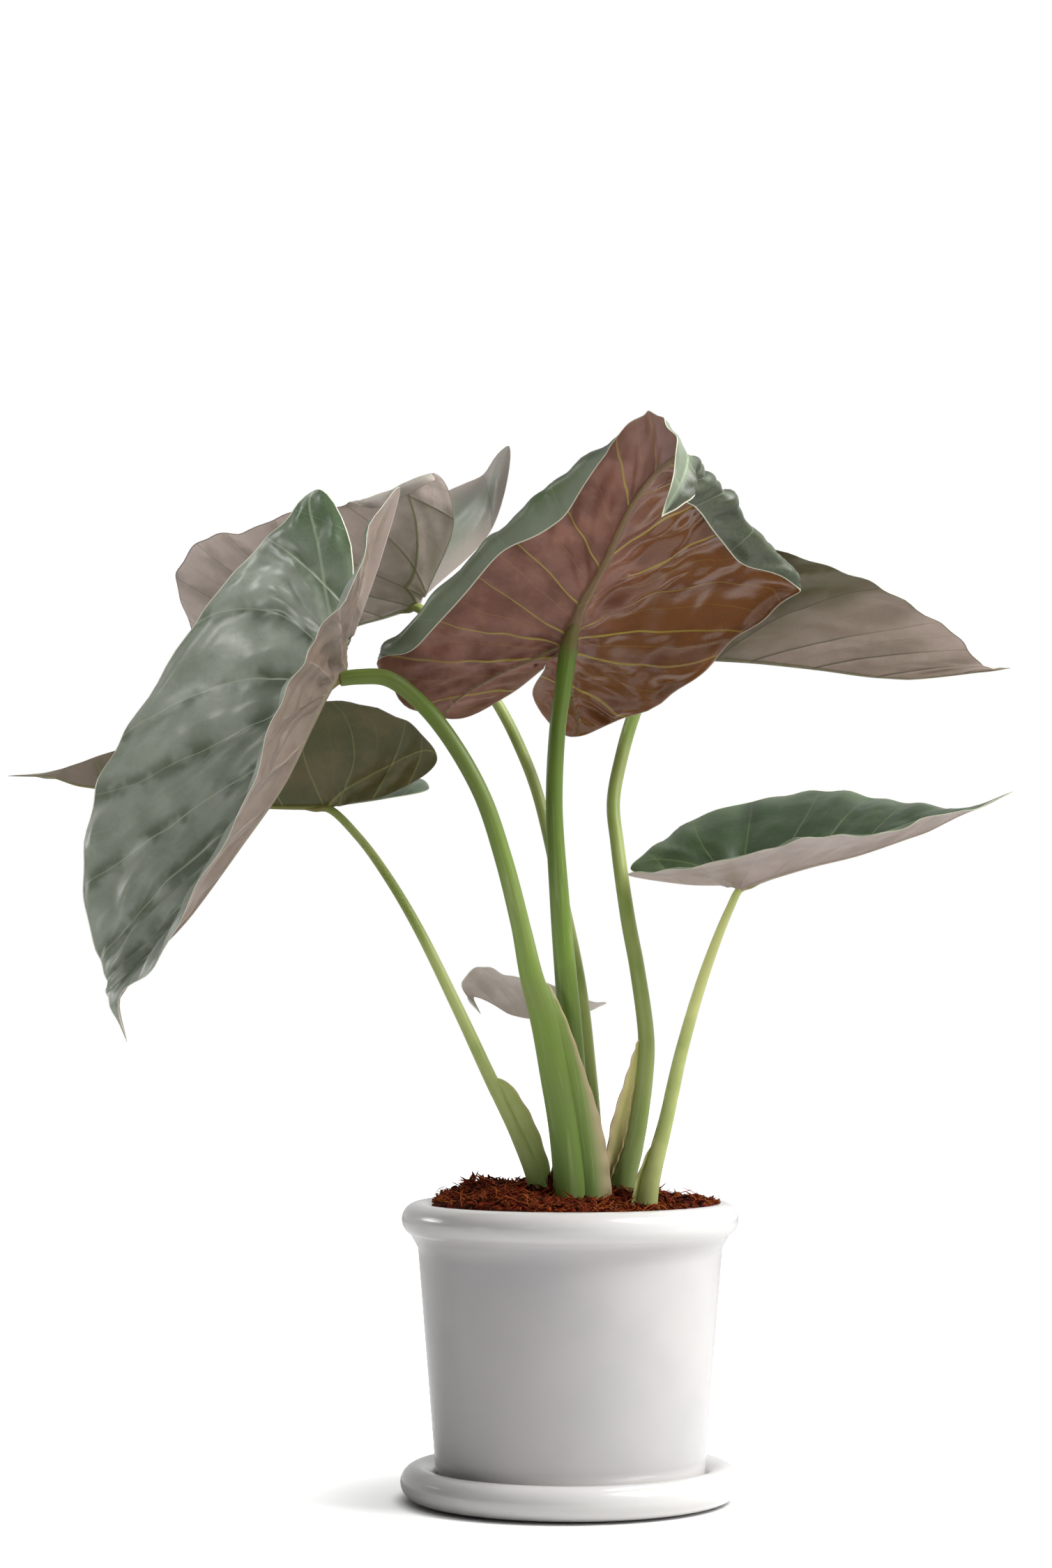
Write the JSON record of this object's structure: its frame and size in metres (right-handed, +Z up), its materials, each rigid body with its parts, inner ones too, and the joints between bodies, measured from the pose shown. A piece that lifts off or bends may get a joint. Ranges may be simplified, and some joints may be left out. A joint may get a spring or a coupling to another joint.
{
  "type": "potted alocasia plant",
  "caption": "Potted arrow-leaved house plant: broad blades with rolled edges and drip tips on long sheathed stalks, in coir, in a round-rimmed glazed pot on a saucer.",
  "frame": {"origin": "centre of the saucer's flat underside, on the surface that the plant stands on", "axes": "+Z up, -Y towards the front, where the largest leaf leans out, +X to the right seen from the front"},
  "size_m": [0.593, 0.3417, 0.6094],
  "materials": {
    "glazed_stoneware": "gloss",
    "coir": "matte",
    "corm_skin": "matte",
    "leaf_grey_green": "satin",
    "leaf_bronze": "satin",
    "leaf_taupe": "satin",
    "leaf_olive": "satin",
    "stalk_green": "satin"
  },
  "bodies": {
    "root": {"saucer": "glazed_stoneware", "pot": "glazed_stoneware", "soil": "coir", "corm": "corm_skin", "blade_front": "leaf_bronze", "blade_hanging": "leaf_grey_green", "blade_back_left": "leaf_taupe", "blade_right": "leaf_taupe", "blade_low_right": "leaf_grey_green", "blade_low_left": "leaf_olive", "blade_young": "leaf_taupe", "stalk_front": "stalk_green", "stalk_hanging": "stalk_green", "stalk_back_left": "stalk_green", "stalk_right": "stalk_green", "stalk_low_right": "stalk_green", "stalk_low_left": "stalk_green", "stalk_young": "stalk_green"}
  },
  "joints": []
}
